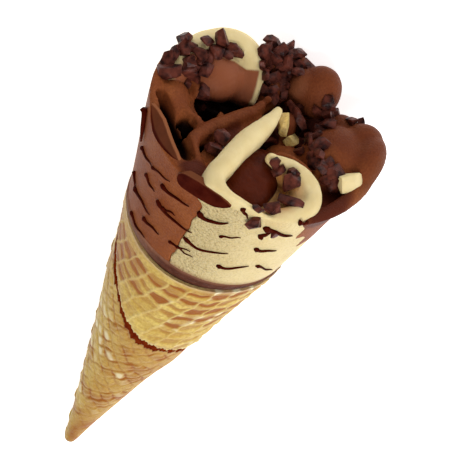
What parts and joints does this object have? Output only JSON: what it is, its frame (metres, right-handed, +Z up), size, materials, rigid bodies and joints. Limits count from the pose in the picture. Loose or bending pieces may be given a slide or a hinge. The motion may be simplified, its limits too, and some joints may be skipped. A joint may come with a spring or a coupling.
{
  "type": "ice cream cone",
  "caption": "Rolled sugar wafer cone lying on its back, filled with quarters of chocolate and vanilla ice cream that open into piped lobes with sauce and dark chocolate pieces.",
  "frame": {"origin": "bottom centre of the lying cone's box, on the ground under its middle", "axes": "+Z up, +X along the ground from the tip towards the mouth, +Y to the chocolate quarter that shows on the left when the mouth points away"},
  "size_m": [0.1508, 0.061, 0.0621],
  "materials": {
    "wafer": "baked sugar wafer, golden tan with browner cells, lightly glossy ridges",
    "lining_chocolate": "set chocolate, purple brown, satin",
    "ice_chocolate": "chocolate ice cream, warm brown, smooth and satin with fine pores",
    "ice_vanilla": "vanilla ice cream, pale yellow cream, smooth with fine pores",
    "sauce": "chocolate sauce, dark red brown, glossy",
    "dark_chocolate": "dark chocolate, almost black brown, satin"
  },
  "bodies": {
    "root": {"wafer_cone": "wafer", "chocolate_lining": "lining_chocolate", "ice_chocolate_left": "ice_chocolate", "ice_chocolate_right": "ice_chocolate", "ice_vanilla_front": "ice_vanilla", "ice_vanilla_back": "ice_vanilla", "sauce_pool": "sauce", "chocolate_blade": "dark_chocolate", "chocolate_shard": "dark_chocolate"}
  },
  "joints": []
}
